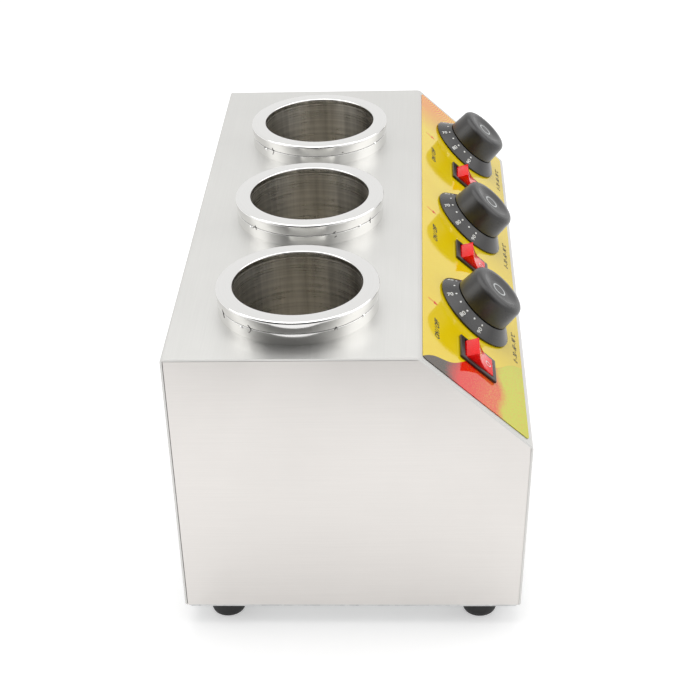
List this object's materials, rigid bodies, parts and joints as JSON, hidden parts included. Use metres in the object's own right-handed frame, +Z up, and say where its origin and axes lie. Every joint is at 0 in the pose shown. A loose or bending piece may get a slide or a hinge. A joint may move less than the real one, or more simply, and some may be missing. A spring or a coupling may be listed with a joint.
{
  "type": "topping warmer",
  "caption": "Counter-top sauce warmer: a bent steel box on rubber feet with round heated wells in a row, and a dial and a rocker switch for each well on its sloping front.",
  "frame": {"origin": "on the surface that the warmer stands on, under the middle of its casing", "axes": "+X along the row of wells, from the left end to the right end; -Y towards the user, on the side with the sloping controls; +Z up"},
  "size_m": [0.395, 0.2132, 0.207],
  "materials": {
    "casing_steel": "fine brushed stainless steel",
    "polished_steel": "mirror-polished stainless steel",
    "well_steel": "turned stainless steel",
    "zinc_steel": "zinc-plated steel",
    "overlay_print": "glossy printed film, mostly yellow",
    "dial_plastic": "satin charcoal plastic with white scale marks",
    "switch_plastic": "semi-gloss black plastic",
    "rocker_plastic": "glossy translucent red plastic",
    "foot_rubber": "matt black rubber",
    "brass": "plain machined brass",
    "copper": "drawn copper tube",
    "lead_insulation": "red silicone insulation",
    "block_ceramic": "off-white ceramic",
    "gland_plastic": "black nylon"
  },
  "bodies": {
    "casing": {"body_shell": "casing_steel", "left_end_panel": "casing_steel", "right_end_panel": "casing_steel", "base_plate": "zinc_steel", "panel_overlay": "overlay_print", "well_rim_1": "polished_steel", "well_rim_2": "polished_steel", "well_rim_3": "polished_steel", "well_collar_1": "polished_steel", "well_collar_2": "polished_steel", "well_collar_3": "polished_steel", "well_cup_1": "well_steel", "well_cup_2": "well_steel", "well_cup_3": "well_steel", "heater_band_1": "zinc_steel", "heater_band_2": "zinc_steel", "heater_band_3": "zinc_steel", "thermostat_1": "zinc_steel", "thermostat_2": "zinc_steel", "thermostat_3": "zinc_steel", "thermostat_nut_1": "zinc_steel", "thermostat_nut_2": "zinc_steel", "thermostat_nut_3": "zinc_steel", "switch_body_1": "switch_plastic", "switch_body_2": "switch_plastic", "switch_body_3": "switch_plastic", "sensor_1": "copper", "sensor_2": "copper", "sensor_3": "copper", "heater_lead_1": "lead_insulation", "heater_lead_2": "lead_insulation", "heater_lead_3": "lead_insulation", "foot_1": "foot_rubber", "foot_2": "foot_rubber", "foot_3": "foot_rubber", "foot_4": "foot_rubber", "foot_screw_1": "zinc_steel", "foot_screw_2": "zinc_steel", "foot_screw_3": "zinc_steel", "foot_screw_4": "zinc_steel", "base_screw_1": "zinc_steel", "base_screw_2": "zinc_steel", "base_screw_3": "zinc_steel", "base_screw_4": "zinc_steel", "cord_gland": "gland_plastic", "gland_nut": "gland_plastic", "terminal_block": "block_ceramic", "earth_stud": "brass"},
    "dial_1": {"dial_skirt_1": "dial_plastic", "dial_cap_1": "dial_plastic", "dial_shaft_1": "brass"},
    "dial_2": {"dial_skirt_2": "dial_plastic", "dial_cap_2": "dial_plastic", "dial_shaft_2": "brass"},
    "dial_3": {"dial_skirt_3": "dial_plastic", "dial_cap_3": "dial_plastic", "dial_shaft_3": "brass"},
    "rocker_1": {"switch_rocker_1": "rocker_plastic"},
    "rocker_2": {"switch_rocker_2": "rocker_plastic"},
    "rocker_3": {"switch_rocker_3": "rocker_plastic"}
  },
  "joints": [
    {"name": "dial_1_turn", "type": "hinge", "parent": "casing", "child": "dial_1", "pos_m": [-0.0941, -0.07339, 0.16121], "axis": [0, -0.6812, 0.7321], "range_deg": [-52, 211]},
    {"name": "dial_2_turn", "type": "hinge", "parent": "casing", "child": "dial_2", "pos_m": [0.0291, -0.07339, 0.16121], "axis": [0, -0.6812, 0.7321], "range_deg": [-52, 211]},
    {"name": "dial_3_turn", "type": "hinge", "parent": "casing", "child": "dial_3", "pos_m": [0.1523, -0.07339, 0.16121], "axis": [0, -0.6812, 0.7321], "range_deg": [-52, 211]},
    {"name": "rocker_1_tip", "type": "hinge", "parent": "casing", "child": "rocker_1", "pos_m": [-0.1495, -0.07271, 0.16048], "axis": [-1, 0, 0], "range_deg": [0, 40]},
    {"name": "rocker_2_tip", "type": "hinge", "parent": "casing", "child": "rocker_2", "pos_m": [-0.0263, -0.07271, 0.16048], "axis": [-1, 0, 0], "range_deg": [0, 40]},
    {"name": "rocker_3_tip", "type": "hinge", "parent": "casing", "child": "rocker_3", "pos_m": [0.0969, -0.07271, 0.16048], "axis": [-1, 0, 0], "range_deg": [0, 40]}
  ]
}
